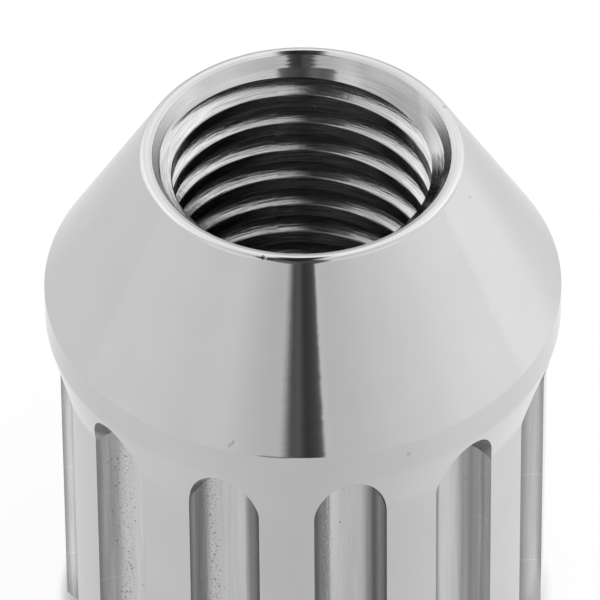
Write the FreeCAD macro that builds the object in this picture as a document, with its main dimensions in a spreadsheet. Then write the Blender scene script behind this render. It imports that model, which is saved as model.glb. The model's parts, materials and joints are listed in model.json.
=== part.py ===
# Locking wheel nut with a 60 degree seat and twelve outside flutes
#
# One piece, turned from bar and then milled. It stands on its flat lower end with
# the conical seat upwards. Millimetres, +Z up, origin at the centre of the lower end.
import FreeCAD, Part
import math
import os
import Sketcher

os.makedirs("parts", exist_ok=True)

NODE = "wheel_nut"

# Driving sizes, lengths in millimetres and angles in degrees
SIZES = {
    # Turned outside: the lands, the rim that stands out from them, and the ends
    "overall_length": "25.0",
    "land_diameter": "20.0",
    "end_chamfer": "0.7",
    "rim_step": "0.55",
    "rim_band": "1.45",
    "shoulder_taper": "2.3",
    # Cone that seats in the wheel, up to the flat ring round the mouth
    "seat_angle": "60.0",
    "seat_edge_round": "0.12",
    "ring_width": "0.45",
    # Bore, plain at the size it is drilled to before the thread is cut
    "bore_diameter": "10.5",
    "lead_in": "0.5",
    "lead_in_angle": "90.0",
    "mouth_flare": "0.25",
    "mouth_depth": "0.55",
    "foot_lead_in": "0.95",
    # Flutes that the key grips, milled upwards from the lower end
    "flute_count": "12",
    "flute_width": "3.0",
    "flute_depth": "1.5",
    "flute_full_below_rim": "3.3",
    "flute_ramp_angle": "51.0",
    "cutter_clearance": "0.5",
}

# Sketcher's own numbers: its origin and axes, and the ends and centre of a line or arc
ORIGIN, X_AXIS, Y_AXIS = -1, -1, -2
START, END, CENTRE = 1, 2, 3

# Formulas on the sheet that more than one sketch uses
RIM_RADIUS = "(Sizes.land_diameter / 2 + Sizes.rim_step)"
MOUTH_RADIUS = "(Sizes.bore_diameter / 2 + Sizes.lead_in + Sizes.mouth_flare)"
SEAT_RUN = f"({RIM_RADIUS} - {MOUTH_RADIUS} - Sizes.ring_width)"
SEAT_HEIGHT = f"({SEAT_RUN} / tan(Sizes.seat_angle / 2))"
FLUTE_CENTRE = "(Sizes.land_diameter / 2 - Sizes.flute_depth + Sizes.flute_width / 2)"
RAMP_RUN = "(Sizes.flute_depth + Sizes.rim_step + Sizes.cutter_clearance)"
FLUTE_STOP = f"(Sizes.overall_length - {SEAT_HEIGHT} - Sizes.flute_full_below_rim)"


def make_sheet(doc):
    """The driving sizes, one named cell each."""
    sheet = doc.addObject("Spreadsheet::Sheet", "Sizes")
    for row, (name, value) in enumerate(SIZES.items(), start=1):
        sheet.set(f"A{row}", name.replace("_", " "))
        sheet.set(f"B{row}", value)
        sheet.setAlias(f"B{row}", name)
    doc.recompute()
    return sheet


def size(name):
    """A driving size as a number, for the rough lines that a sketch starts from."""
    return float(SIZES[name])


def origin_feature(body, role):
    """A plane or axis of the body's own origin."""
    return next(item for item in body.Origin.OriginFeatures if item.Role == role)


def new_sketch(body, name, plane):
    """An empty sketch on one of the body's own planes."""
    sketch = body.newObject("Sketcher::SketchObject", name)
    sketch.AttachmentSupport = [(origin_feature(body, plane), "")]
    sketch.MapMode = "FlatFace"
    return sketch


def measure(sketch, name, kind, geometry, formula):
    """A named dimension, taken from the lines as drawn and then driven by the sheet."""
    if kind == "Radius":
        drawn = sketch.Geometry[geometry[0]].Radius
    else:
        span = sketch.getPoint(*geometry[2:]) - sketch.getPoint(*geometry[:2])
        drawn = span.x if kind == "DistanceX" else span.y
    index = sketch.addConstraint(Sketcher.Constraint(kind, *geometry, drawn))
    sketch.renameConstraint(index, name)
    sketch.setExpression(f"Constraints.{name}", formula)


def across(sketch, line, axis):
    """The two ends of a slanted line, lower value first along the axis."""
    first = getattr(sketch.getPoint(line, START), axis)
    last = getattr(sketch.getPoint(line, END), axis)
    return (line, START, line, END) if first < last else (line, END, line, START)


def draw_turned_section(body):
    """Half section of the turned piece: radius across and height up."""
    sketch = new_sketch(body, "TurnedSection", "XZ_Plane")
    bore = size("bore_diameter") / 2
    land = size("land_diameter") / 2
    rim = land + size("rim_step")
    throat = bore + size("lead_in")
    mouth = throat + size("mouth_flare")
    ring = mouth + size("ring_width")
    top = size("overall_length")
    rim_height = top - (rim - ring) / math.tan(math.radians(size("seat_angle") / 2))
    band_foot = rim_height - size("rim_band")
    throat_height = top - size("mouth_depth")
    corners = [
        (bore + size("foot_lead_in"), 0),
        (land - size("end_chamfer"), 0),
        (land, size("end_chamfer")),
        (land, band_foot - size("shoulder_taper")),
        (rim, band_foot),
        (rim, rim_height),
        (ring, top),
        (mouth, top),
        (throat, throat_height),
        (bore, throat_height - size("lead_in")),
        (bore, size("foot_lead_in")),
    ]
    count = len(corners)
    points = [FreeCAD.Vector(x, y, 0) for x, y in corners]
    for line in range(count):
        sketch.addGeometry(Part.LineSegment(points[line], points[(line + 1) % count]), False)
    for line in range(count):
        sketch.addConstraint(Sketcher.Constraint("Coincident", line, END, (line + 1) % count, START))

    (foot, chamfer, land, taper, band, cone, ring, flare, lead_in, wall, foot_lead_in) = range(count)
    for line in (land, band, wall):
        sketch.addConstraint(Sketcher.Constraint("Vertical", line))
    for line in (foot, ring):
        sketch.addConstraint(Sketcher.Constraint("Horizontal", line))
    sketch.addConstraint(Sketcher.Constraint("PointOnObject", foot, START, X_AXIS))

    radii = [
        ("land_radius", land, "Sizes.land_diameter / 2"),
        ("rim_radius", band, RIM_RADIUS),
        ("mouth_radius", flare, MOUTH_RADIUS),
        ("bore_radius", wall, "Sizes.bore_diameter / 2"),
    ]
    for name, line, formula in radii:
        measure(sketch, name, "DistanceX", (ORIGIN, START, line, START), formula)

    widths = [
        ("chamfer_width", chamfer, "Sizes.end_chamfer"),
        ("seat_run", cone, SEAT_RUN),
        ("flare_width", flare, "Sizes.mouth_flare"),
        ("foot_lead_in_width", foot_lead_in, "Sizes.foot_lead_in"),
    ]
    heights = [
        ("chamfer_height", chamfer, "Sizes.end_chamfer"),
        ("taper_height", taper, "Sizes.shoulder_taper"),
        ("band_height", band, "Sizes.rim_band"),
        ("seat_height", cone, SEAT_HEIGHT),
        ("mouth_drop", flare, "Sizes.mouth_depth"),
        ("lead_in_drop", lead_in, "Sizes.lead_in / tan(Sizes.lead_in_angle / 2)"),
        ("foot_lead_in_rise", foot_lead_in, "Sizes.foot_lead_in / tan(Sizes.lead_in_angle / 2)"),
    ]
    for name, line, formula in widths:
        ends = across(sketch, line, "x")
        measure(sketch, name, "DistanceX", ends, formula)
    for name, line, formula in heights:
        ends = across(sketch, line, "y")
        measure(sketch, name, "DistanceY", ends, formula)
    measure(sketch, "top_height", "DistanceY", (ORIGIN, START, ring, START), "Sizes.overall_length")
    return sketch


def draw_flute_section(body):
    """Section of one flute on the -Y side: a round floor between straight walls, open outwards."""
    sketch = new_sketch(body, "FluteSection", "XY_Plane")
    half = size("flute_width") / 2
    land = size("land_diameter") / 2
    middle = -(land - size("flute_depth") + half)
    outside = -(land + size("rim_step") + size("cutter_clearance"))
    floor_circle = Part.Circle(FreeCAD.Vector(0, middle, 0), FreeCAD.Vector(0, 0, 1), half)
    right_top = FreeCAD.Vector(half, middle, 0)
    right_end = FreeCAD.Vector(half, outside, 0)
    left_top = FreeCAD.Vector(-half, middle, 0)
    left_end = FreeCAD.Vector(-half, outside, 0)
    floor = sketch.addGeometry(Part.ArcOfCircle(floor_circle, 0, math.pi), False)
    left = sketch.addGeometry(Part.LineSegment(left_top, left_end), False)
    mouth = sketch.addGeometry(Part.LineSegment(left_end, right_end), False)
    right = sketch.addGeometry(Part.LineSegment(right_end, right_top), False)

    sketch.addConstraint(Sketcher.Constraint("Tangent", floor, END, left, START))
    sketch.addConstraint(Sketcher.Constraint("Coincident", left, END, mouth, START))
    sketch.addConstraint(Sketcher.Constraint("Coincident", mouth, END, right, START))
    sketch.addConstraint(Sketcher.Constraint("Tangent", right, END, floor, START))
    sketch.addConstraint(Sketcher.Constraint("Vertical", left))
    sketch.addConstraint(Sketcher.Constraint("Vertical", right))
    sketch.addConstraint(Sketcher.Constraint("Horizontal", mouth))
    sketch.addConstraint(Sketcher.Constraint("PointOnObject", floor, CENTRE, Y_AXIS))
    measure(sketch, "floor_round", "Radius", (floor,), "Sizes.flute_width / 2")
    measure(sketch, "round_centre", "DistanceY", (floor, CENTRE, ORIGIN, START), FLUTE_CENTRE)
    measure(sketch, "arm_length", "DistanceY", (left, END, left, START),
            f"max({RIM_RADIUS} - {FLUTE_CENTRE}; 0) + Sizes.cutter_clearance")
    return sketch


def draw_flute_path(body):
    """The cutter's way along the flute's floor: straight up, then out on a ramp."""
    sketch = new_sketch(body, "FlutePath", "YZ_Plane")
    land = size("land_diameter") / 2
    throat = size("bore_diameter") / 2 + size("lead_in")
    ring = throat + size("mouth_flare") + size("ring_width")
    seat = (land + size("rim_step") - ring) / math.tan(math.radians(size("seat_angle") / 2))
    stop = size("overall_length") - seat - size("flute_full_below_rim")
    floor = size("flute_depth") - land
    rise = (size("flute_depth") + size("rim_step")) / math.tan(math.radians(size("flute_ramp_angle")))
    foot = FreeCAD.Vector(floor, 0, 0)
    bend = FreeCAD.Vector(floor, stop, 0)
    away = FreeCAD.Vector(-land - size("rim_step") - size("cutter_clearance"), stop + rise, 0)
    straight = sketch.addGeometry(Part.LineSegment(foot, bend), False)
    ramp = sketch.addGeometry(Part.LineSegment(bend, away), False)

    sketch.addConstraint(Sketcher.Constraint("Coincident", straight, END, ramp, START))
    sketch.addConstraint(Sketcher.Constraint("Vertical", straight))
    sketch.addConstraint(Sketcher.Constraint("PointOnObject", straight, START, X_AXIS))
    measure(sketch, "floor_radius", "DistanceX", (straight, START, ORIGIN, START),
            "Sizes.land_diameter / 2 - Sizes.flute_depth")
    measure(sketch, "stop_height", "DistanceY", (straight, START, straight, END), FLUTE_STOP)
    measure(sketch, "ramp_run", "DistanceX", (ramp, END, ramp, START), RAMP_RUN)
    measure(sketch, "ramp_rise", "DistanceY", (ramp, START, ramp, END),
            f"{RAMP_RUN} / tan(Sizes.flute_ramp_angle)")
    return sketch


def turn_blank(body):
    """The turned piece with its bore, and the small round at the top of the seat."""
    blank = body.newObject("PartDesign::Revolution", "TurnedBlank")
    blank.Profile = draw_turned_section(body)
    blank.ReferenceAxis = (blank.Profile[0], ["V_Axis"])
    blank.Angle = 360
    body.Document.recompute()

    edge_round = body.newObject("PartDesign::Fillet", "SeatEdgeRound")
    edge_round.Base = (blank, [seat_edge(blank.Shape)])
    edge_round.setExpression("Radius", "Sizes.seat_edge_round")
    body.Document.recompute()
    return edge_round


def seat_edge(shape):
    """Name of the outer circle at the very top."""
    top = shape.BoundBox.ZMax
    circles = [
        (edge.Curve.Radius, index)
        for index, edge in enumerate(shape.Edges, start=1)
        if isinstance(edge.Curve, Part.Circle) and abs(edge.Curve.Center.z - top) < 1e-6
    ]
    return f"Edge{max(circles)[1]}"


def mill_flutes(body):
    """One flute, cut along the path, repeated round the nut."""
    flute = body.newObject("PartDesign::SubtractivePipe", "Flute")
    flute.Profile = draw_flute_section(body)
    flute.Spine = draw_flute_path(body)
    flute.Transition = "Right corner"
    body.Document.recompute()

    pattern = body.newObject("PartDesign::PolarPattern", "Flutes")
    pattern.Originals = [flute]
    pattern.Axis = (origin_feature(body, "Z_Axis"), [""])
    pattern.Angle = 360
    pattern.setExpression("Occurrences", "Sizes.flute_count")
    body.Tip = pattern
    body.Document.recompute()
    return flute, pattern


def check(doc, steps):
    """Every object is sound, and every cut has taken material away."""
    for item in doc.Objects:
        if "Invalid" in item.State or "Error" in item.State:
            raise RuntimeError(f"{item.Name} did not compute")
    volumes = [step.Shape.Volume for step in steps]
    for step, before, after in zip(steps[1:], volumes, volumes[1:]):
        if step.Shape.isNull() or not step.Shape.isValid() or after >= before:
            raise RuntimeError(f"{step.Name} did not cut")


doc = FreeCAD.newDocument("WheelNut")
make_sheet(doc)
nut = doc.addObject("PartDesign::Body", "WheelNut")
nut.Label = NODE
nut.Placement = FreeCAD.Placement()
rounded = turn_blank(nut)
flute, flutes = mill_flutes(nut)
doc.recompute()
check(doc, [rounded, flute, flutes])
nut.Shape.exportStep(f"parts/{NODE}.step")
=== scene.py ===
"""A fluted locking wheel nut in bright steel, on a pale floor under soft light.

The nut is one closed skin. Each face of it is a surface of two parameters, worked out on a grid,
and grids that share an edge share the points of that edge. Lengths are in metres, with +Z along
the bore and the origin at the centre of the lower end. An azimuth is measured from -Y towards +X.
"""
import json
import math

import bpy
import numpy as np
from mathutils import Matrix, Vector


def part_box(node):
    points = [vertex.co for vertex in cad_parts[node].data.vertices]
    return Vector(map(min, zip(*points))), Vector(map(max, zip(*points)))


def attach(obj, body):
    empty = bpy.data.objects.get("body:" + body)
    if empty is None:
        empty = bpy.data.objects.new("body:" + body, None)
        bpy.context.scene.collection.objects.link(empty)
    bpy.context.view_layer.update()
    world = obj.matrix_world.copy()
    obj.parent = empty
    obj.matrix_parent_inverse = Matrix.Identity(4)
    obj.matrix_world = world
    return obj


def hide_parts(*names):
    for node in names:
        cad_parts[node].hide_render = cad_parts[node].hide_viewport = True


bl_info = {
    "name": "Locking wheel nut",
    "version": (1, 0, 0),
    "blender": (4, 5, 0),
    "location": "View3D > Sidebar > Wheel Nut",
    "description": "Builds a fluted locking wheel nut with a conical seat, and its studio",
    "category": "Add Mesh",
}

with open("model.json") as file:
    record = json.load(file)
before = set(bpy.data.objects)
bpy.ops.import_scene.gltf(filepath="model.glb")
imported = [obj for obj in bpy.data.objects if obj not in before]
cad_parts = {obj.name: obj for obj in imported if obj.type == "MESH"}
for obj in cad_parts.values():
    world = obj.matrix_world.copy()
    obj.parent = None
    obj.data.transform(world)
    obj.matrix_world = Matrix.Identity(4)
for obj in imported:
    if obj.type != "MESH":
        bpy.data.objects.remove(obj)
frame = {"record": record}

NODE = "wheel_nut"
BODY = "root"
MM = 0.001
FULL_TURN = 2.0 * math.pi

LOW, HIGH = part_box(NODE)
THREAD = next(mount for mount in frame["record"]["mounts"] if mount["name"] == "thread")


class WheelNutSizes(bpy.types.PropertyGroup):
    """The sizes of the nut, with those that the frame gives as their defaults."""

    overall_length: bpy.props.FloatProperty(
        name="Overall length", description="From the lower end to the top of the seat",
        default=HIGH.z, unit="LENGTH")
    rim_radius: bpy.props.FloatProperty(
        name="Rim radius", description="Radius of the band below the seat",
        default=min(HIGH.x, HIGH.y, -LOW.x, -LOW.y), unit="LENGTH")
    land_radius: bpy.props.FloatProperty(
        name="Land radius", description="Radius of the body between the flutes",
        default=10.0 * MM, unit="LENGTH")
    band_height: bpy.props.FloatProperty(
        name="Band height", description="Height of the plain band below the seat",
        default=1.45 * MM, unit="LENGTH")
    taper_height: bpy.props.FloatProperty(
        name="Taper height", description="Height over which the body widens to the band",
        default=2.3 * MM, unit="LENGTH")
    end_chamfer: bpy.props.FloatProperty(
        name="End chamfer", description="Chamfer round the lower end",
        default=0.7 * MM, unit="LENGTH")
    seat_angle: bpy.props.FloatProperty(
        name="Seat angle", description="Whole angle of the conical seat",
        default=math.radians(60.0), subtype="ANGLE")
    seat_top_radius: bpy.props.FloatProperty(
        name="Seat top radius", description="Where the seat would meet the top without its round",
        default=6.45 * MM, unit="LENGTH")
    seat_edge_round: bpy.props.FloatProperty(
        name="Seat edge round", description="Round between the seat and the ring on top",
        default=0.32 * MM, unit="LENGTH")
    ring_dish: bpy.props.FloatProperty(
        name="Ring dish", description="How far the ring on top dips towards the bore",
        default=math.radians(18.0), subtype="ANGLE")
    fine_edge_round: bpy.props.FloatProperty(
        name="Fine edge round", description="Round on the edges that the tool leaves sharp",
        default=0.05 * MM, unit="LENGTH")
    mouth_radius: bpy.props.FloatProperty(
        name="Mouth radius", description="Radius of the mouth at the ring on top",
        default=6.05 * MM, unit="LENGTH")
    mouth_floor_radius: bpy.props.FloatProperty(
        name="Mouth floor radius", description="Radius where the mouth meets the lead-in",
        default=5.76 * MM, unit="LENGTH")
    mouth_depth: bpy.props.FloatProperty(
        name="Mouth depth", description="Depth of the mouth's tapered wall",
        default=0.567 * MM, unit="LENGTH")
    foot_lead_in: bpy.props.FloatProperty(
        name="Foot lead-in", description="Depth of the 45 degree lead-in at the lower end",
        default=0.95 * MM, unit="LENGTH")
    crest_radius: bpy.props.FloatProperty(
        name="Crest radius", description="Radius of the thread's crests, the size of the drilled bore",
        default=THREAD["dims"]["r_mm"] * MM, unit="LENGTH")
    root_radius: bpy.props.FloatProperty(
        name="Root radius", description="Radius of the thread's grooves",
        default=5.94 * MM, unit="LENGTH")
    root_flat: bpy.props.FloatProperty(
        name="Root flat", description="Width of the flat at the bottom of the thread's groove",
        default=0.1 * MM, unit="LENGTH")
    pitch: bpy.props.FloatProperty(
        name="Pitch", description="Pitch of the thread",
        default=1.5 * MM, unit="LENGTH")
    flute_count: bpy.props.IntProperty(
        name="Flutes", description="Number of flutes round the body", default=12, min=3, max=24)
    flute_width: bpy.props.FloatProperty(
        name="Flute width", description="Width of a flute, twice the radius of its round floor",
        default=3.0 * MM, unit="LENGTH")
    flute_depth: bpy.props.FloatProperty(
        name="Flute depth", description="Depth of a flute below the lands",
        default=1.5 * MM, unit="LENGTH")
    flute_full_below_rim: bpy.props.FloatProperty(
        name="Full flute below rim", description="How far below the rim a flute is still full depth",
        default=3.3 * MM, unit="LENGTH")
    flute_ramp_angle: bpy.props.FloatProperty(
        name="Flute ramp angle", description="Angle of a flute's end from the nut's axis",
        default=math.radians(51.0), subtype="ANGLE")


class WheelNutFinish(bpy.types.PropertyGroup):
    """The colour and the smoothness of the steel."""

    steel: bpy.props.FloatVectorProperty(
        name="Steel", description="Colour of the bright steel", subtype="COLOR", size=3,
        default=(0.55, 0.55, 0.55), min=0.0, max=1.0)
    polish: bpy.props.FloatProperty(
        name="Seat roughness", description="Roughness of the polished seat and body",
        default=0.06, min=0.0, max=1.0, subtype="FACTOR")
    cut: bpy.props.FloatProperty(
        name="Cut roughness", description="Roughness of the milled and tapped surfaces",
        default=0.16, min=0.0, max=1.0, subtype="FACTOR")
    cut_shade: bpy.props.FloatProperty(
        name="Cut shade", description="How dark the milled flutes are beside the polished steel",
        default=0.97, min=0.0, max=1.0, subtype="FACTOR")
    floor: bpy.props.FloatVectorProperty(
        name="Floor", description="Colour of the floor", subtype="COLOR", size=3,
        default=(0.9, 0.9, 0.9), min=0.0, max=1.0)


# How far the body's outline takes to bend below and above its taper.
TAPER_BLEND = 0.4 * MM
BAND_BLEND = 0.3 * MM
# How finely each part of the skin is divided, and how close two points are one.
FLUTE_STEPS = 16
FLUTE_SIDE_STEPS = 4
LAND_STEPS = 12
BORE_COLUMNS = 144
FLOOR_ROWS = 7
RAMP_ROWS = 11
SHOULDER_ROWS = 17
ROUND_STEPS = 7
HALVINGS = 60
WELD = 1e-9
# Where on the ring on top the columns of the outside meet those of the bore, from the mouth outwards.
SEAM_SHARE = 0.33
# The thread: the lean of its flanks, and how deep below the top the first whole crest is at the back.
FLANK_ANGLE = math.radians(30.0)
CREST_AT_BACK = 1.62 * MM
BACK_AZIMUTH = math.radians(169.3)
SPARE_TURNS = 2
# The brightest value that a smooth curve can hold.
BRIGHTEST = 2.0
TURNED, RING, MILLED, TAPPED = range(4)


def eased(distance, width):
    """Rises from 0 at slope 0 to slope 1 along a parabola of the given width about zero."""
    share = np.clip(distance / width + 0.5, 0.0, 1.0)
    return 0.5 * width * share**2 + np.maximum(distance - 0.5 * width, 0.0)


def eased_slope(distance, width):
    """The slope of eased, which goes evenly from 0 to 1."""
    return np.clip(distance / width + 0.5, 0.0, 1.0)


def unit(vectors):
    """Each vector divided by its length."""
    return vectors / np.linalg.norm(vectors, axis=-1, keepdims=True)


def turned(radii, heights, azimuths):
    """Points at a radius and height, carried round the axis to each azimuth.

    x = radius * sin(azimuth), y = -radius * cos(azimuth), z = height
    """
    radii, heights, azimuths = np.broadcast_arrays(radii, heights, azimuths)
    return np.stack([radii * np.sin(azimuths), -radii * np.cos(azimuths), heights], axis=-1)


class Form:
    """The nut's own geometry: where its faces lie and how they slope."""

    def __init__(self, sizes):
        self.sizes = sizes
        half_angle = 0.5 * sizes.seat_angle
        self.top = sizes.overall_length
        self.rim = self.top - (sizes.rim_radius - sizes.seat_top_radius) / math.tan(half_angle)
        self.band_foot = self.rim - sizes.band_height
        self.taper_start = self.band_foot - sizes.taper_height
        self.side_top = self.band_foot + 0.5 * BAND_BLEND
        self.taper_slope = (sizes.rim_radius - sizes.land_radius) / sizes.taper_height
        self.end_radius = sizes.land_radius - sizes.end_chamfer
        self.flute_round = 0.5 * sizes.flute_width
        self.flute_centre = sizes.land_radius - sizes.flute_depth + self.flute_round
        self.ramp_foot = self.rim - sizes.flute_full_below_rim
        self.ramp_slope = math.tan(sizes.flute_ramp_angle)
        self.ramp_round = self.flute_round * math.hypot(1.0, self.ramp_slope)
        self.period = FULL_TURN / sizes.flute_count
        self.ring_slope = math.tan(sizes.ring_dish)
        self.mouth_top = self.ring_height(sizes.mouth_radius)

    def ring_height(self, radius):
        """Height of the ring on top, a shallow cone that dips towards the bore."""
        return self.top - (self.sizes.seat_top_radius - radius) * self.ring_slope

    def side_radius(self, height):
        """The body's radius: the land's, then the taper's, then the band's, with eased corners."""
        rise = eased(height - self.taper_start, TAPER_BLEND) - eased(height - self.band_foot, BAND_BLEND)
        return self.sizes.land_radius + self.taper_slope * rise

    def side_slope(self, height):
        """How fast the body's radius grows with height."""
        change = eased_slope(height - self.taper_start, TAPER_BLEND)
        return self.taper_slope * (change - eased_slope(height - self.band_foot, BAND_BLEND))

    def turn_at(self, radius):
        """The turn of a flute's round at which its wall reaches a radius from the nut's axis.

        The law of cosines on the triangle of the two centres and the point.
        """
        squares = self.flute_round**2 + self.flute_centre**2 - radius**2
        return math.acos(squares / (2.0 * self.flute_round * self.flute_centre))

    def flute_turns(self):
        """The columns of a flute, closer together beside the lands, with one at the end face's edge."""
        at_end, at_land = self.turn_at(self.end_radius), self.turn_at(self.sizes.land_radius)
        middle = np.linspace(-at_end, at_end, FLUTE_STEPS + 1)
        side = np.linspace(at_end, at_land, FLUTE_SIDE_STEPS + 1)[1:]
        return np.concatenate([-side[::-1], middle, side])

    def flute_floor(self, turn):
        """Distance of a flute's straight part from the axis, across its round floor."""
        return self.flute_centre - self.flute_round * np.cos(turn)

    def ramp(self, turn, height):
        """Distance of a flute's end ramp from the axis: the same round, seen along the ramp."""
        climb = self.ramp_slope * (height - self.ramp_foot)
        floor = self.flute_centre - self.flute_round + climb
        return floor + self.ramp_round * (1.0 - np.cos(turn))

    def crease(self, turn):
        """Height at which the straight flute turns into its ramp, where both distances agree."""
        drop = (self.ramp_round - self.flute_round) * (1.0 - np.cos(turn))
        return self.ramp_foot - drop / self.ramp_slope

    def lip(self, turn):
        """Height at which a flute's ramp comes out through the body, found by halving."""
        across = self.flute_round * np.sin(turn)
        low, high = self.crease(turn), np.full_like(turn, self.side_top)
        for _ in range(HALVINGS):
            middle = 0.5 * (low + high)
            inside = np.hypot(across, self.ramp(turn, middle)) < self.side_radius(middle)
            low, high = np.where(inside, middle, low), np.where(inside, high, middle)
        low[[0, -1]] = self.crease(turn)[[0, -1]]
        return low


class Skin:
    """Faces gathered from grids of points, each corner with its own normal, then welded."""

    def __init__(self):
        self.corners, self.normals, self.finishes = [], [], []

    def add_corners(self, corners, normals, finish):
        """Adds faces of four corners each, turned so that they face the way their normals do."""
        across = corners[:, 2] - corners[:, 0]
        along = corners[:, 3] - corners[:, 1]
        backwards = np.einsum("ij,ij->i", np.cross(across, along), normals.sum(axis=1)) < 0.0
        corners, normals = corners.copy(), normals.copy()
        corners[backwards] = corners[backwards][:, ::-1]
        normals[backwards] = normals[backwards][:, ::-1]
        self.corners.append(corners)
        self.normals.append(normals)
        self.finishes.append(np.broadcast_to(finish, len(corners)))

    def add_grid(self, points, normals, finish):
        """Adds a grid of points as faces. The normals belong to the points or to the cells' corners."""
        if normals.ndim == 3:
            normals = cells(normals)
        self.add_corners(cells(points).reshape(-1, 4, 3), normals.reshape(-1, 4, 3), finish)

    def mesh(self, name):
        """The welded mesh, with faces of no area left out and each corner's normal kept."""
        corners, normals = np.concatenate(self.corners), np.concatenate(self.normals)
        finishes = np.concatenate(self.finishes)
        places = np.rint(corners.reshape(-1, 3) / WELD).astype(np.int64)
        _, first, index = np.unique(places, axis=0, return_index=True, return_inverse=True)
        points = corners.reshape(-1, 3)[first]
        index = index.reshape(-1, 4)
        repeated = index == np.roll(index, -1, axis=1)
        whole = repeated.sum(axis=1) == 0
        pointed = repeated.sum(axis=1) == 1
        keep = ~repeated[pointed]
        threes = index[pointed][keep].reshape(-1, 3)
        faces = index[whole].tolist() + threes.tolist()
        mesh = bpy.data.meshes.new(name)
        mesh.from_pydata(points.tolist(), [], faces)
        loops = np.concatenate([normals[whole].reshape(-1, 3), normals[pointed][keep]])
        mesh.polygons.foreach_set("material_index", np.concatenate([finishes[whole], finishes[pointed]]))
        mesh.shade_smooth()
        mesh.normals_split_custom_set(loops.tolist())
        mesh.update()
        return mesh


def cells(grid):
    """The four corners of every cell of a grid, in order round the cell."""
    return np.stack([grid[:-1, :-1], grid[:-1, 1:], grid[1:, 1:], grid[1:, :-1]], axis=2)


def rounded_line(corners, rounds):
    """A line through corners in (radius, height) with a round at each inner corner, and its normals.

    At a corner the line turns by some angle. A round of radius r starts r * tan(angle / 2) before
    it and follows a circle. The normal is the direction of travel turned right.
    """
    corners = np.asarray(corners, float)
    heading = unit(np.diff(corners, axis=0))
    points, normals = [corners[:1]], [heading[:1] @ np.array([[0.0, -1.0], [1.0, 0.0]])]
    for corner, before, after, radius in zip(corners[1:-1], heading[:-1], heading[1:], rounds):
        turn = math.atan2(before[0] * after[1] - before[1] * after[0], before @ after)
        start = corner - before * radius * math.tan(0.5 * abs(turn))
        swing = np.linspace(0.0, turn, ROUND_STEPS + 1)[:, None]
        right = np.array([before[1], -before[0]])
        normal = np.cos(swing) * right + np.sin(swing) * before
        points.append(start + math.copysign(radius, turn) * (normal - right))
        normals.append(normal)
    points.append(corners[-1:])
    normals.append(heading[-1:] @ np.array([[0.0, -1.0], [1.0, 0.0]]))
    return np.concatenate(points), np.concatenate(normals)


def add_turned_line(skin, line, normals, azimuths, finish):
    """Carries a line in (radius, height) round the axis."""
    points = turned(line[:, :1], line[:, 1:], azimuths[None, :])
    skin.add_grid(points, turned(normals[:, :1], normals[:, 1:], azimuths[None, :]), finish)


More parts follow.
